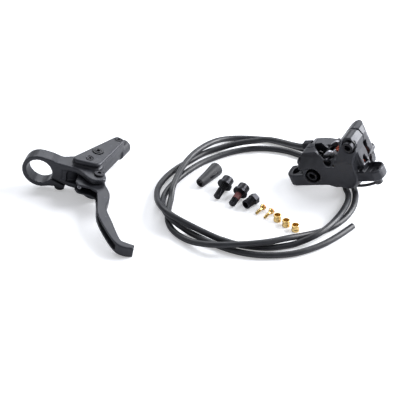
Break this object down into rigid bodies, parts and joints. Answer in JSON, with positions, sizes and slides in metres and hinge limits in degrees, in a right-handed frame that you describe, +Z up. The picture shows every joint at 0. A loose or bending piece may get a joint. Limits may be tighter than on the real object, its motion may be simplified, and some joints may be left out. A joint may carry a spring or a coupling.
{
  "type": "bicycle hydraulic disc brake",
  "caption": "Hydraulic bicycle disc brake laid out: two-finger lever with reservoir, two-piece post-mount caliper with coiled hose, and the small fitting kit.",
  "frame": {"origin": "centre of the layout's footprint, on the surface it lies on", "axes": "+Z up from the surface; +X from the lever towards the caliper; -Y towards the viewer of the picture"},
  "size_m": [0.2964, 0.1686, 0.0699],
  "materials": {
    "painted": "satin black",
    "black_steel": "black",
    "rubber": "satin",
    "steel": "bright",
    "alloy": "turned",
    "brass": "polished",
    "lining": "granular",
    "phenolic": "moulded"
  },
  "bodies": {
    "laid_out": {"bleed_cap": "rubber", "bleed_nipple": "steel", "bleed_screw": "black_steel", "bleed_seal": "rubber", "body_bolt_lower": "black_steel", "body_bolt_upper": "black_steel", "bolt_ring": "rubber", "brake_hose": "rubber", "caliper_half_far": "painted", "caliper_half_near": "painted", "clamp_bolt": "black_steel", "cover_screw_front": "black_steel", "cover_screw_rear": "black_steel", "hose_nut": "black_steel", "kit_barb_a": "brass", "kit_barb_b": "brass", "kit_hose_boot": "rubber", "kit_hose_nut": "black_steel", "kit_mount_bolt_a": "black_steel", "kit_mount_bolt_b": "black_steel", "kit_olive_a": "brass", "kit_olive_b": "brass", "kit_olive_c": "brass", "kit_washer_a": "black_steel", "kit_washer_b": "black_steel", "lever_housing": "painted", "pad_axle": "black_steel", "pad_spring": "steel", "piston_seal_far": "rubber", "piston_seal_near": "rubber", "pivot_pin": "black_steel", "reservoir_cover": "painted", "reservoir_diaphragm": "rubber", "retaining_ring": "steel", "return_spring": "steel", "transfer_seal": "rubber"},
    "blade": {"lever_blade": "painted", "pivot_bush_upper": "brass", "pivot_bush_lower": "brass"},
    "trunnion_body": {"trunnion": "steel"},
    "master_slide": {"master_piston": "alloy", "master_seal": "rubber"},
    "pushrod_body": {"pushrod": "steel"},
    "pad_near": {"piston_near": "phenolic", "pad_plate_near": "steel", "pad_lining_near": "lining"},
    "pad_far": {"piston_far": "phenolic", "pad_plate_far": "steel", "pad_lining_far": "lining"}
  },
  "joints": [
    {"name": "lever_pivot", "type": "hinge", "parent": "laid_out", "child": "blade", "pos_m": [-0.08593, 0.00944, 0.01282], "axis": [-0.1894, 0.0257, -0.9816], "range_deg": [0, 22], "stiffness_Nm_per_rad": 0.5, "springref_deg": -5.73},
    {"name": "trunnion_turn", "type": "hinge", "parent": "blade", "child": "trunnion_body", "pos_m": [-0.09532, 0.01172, 0.01469], "axis": [-0.1894, 0.0257, -0.9816], "range_deg": [-23, 1]},
    {"name": "master_stroke", "type": "slide", "parent": "laid_out", "child": "master_slide", "axis": [0.4088, 0.911, -0.055], "range_m": [0, 0.00396], "deforming": ["return_spring"]},
    {"name": "reach_adjust", "type": "hinge", "parent": "master_slide", "child": "pushrod_body", "pos_m": [-0.09009, 0.02338, 0.01398], "axis": [0.4088, 0.911, -0.055], "range_deg": [-360, 360]},
    {"name": "pad_near_slide", "type": "slide", "parent": "laid_out", "child": "pad_near", "axis": [0.4961, 0.8553, 0.1493], "range_m": [0, 0.0013], "stiffness_N_per_m": 400, "springref_m": -0.0005, "deforming": ["pad_spring"]},
    {"name": "pad_far_slide", "type": "slide", "parent": "laid_out", "child": "pad_far", "axis": [-0.4961, -0.8553, -0.1493], "range_m": [0, 0.0013], "deforming": ["pad_spring"]}
  ],
  "couplings": [
    {"joint": "master_stroke", "follows": "lever_pivot", "m_per_rad": 0.009791},
    {"joint": "trunnion_turn", "follows": "lever_pivot", "ratio": -1},
    {"joint": "pad_far_slide", "follows": "pad_near_slide", "ratio": 1}
  ]
}
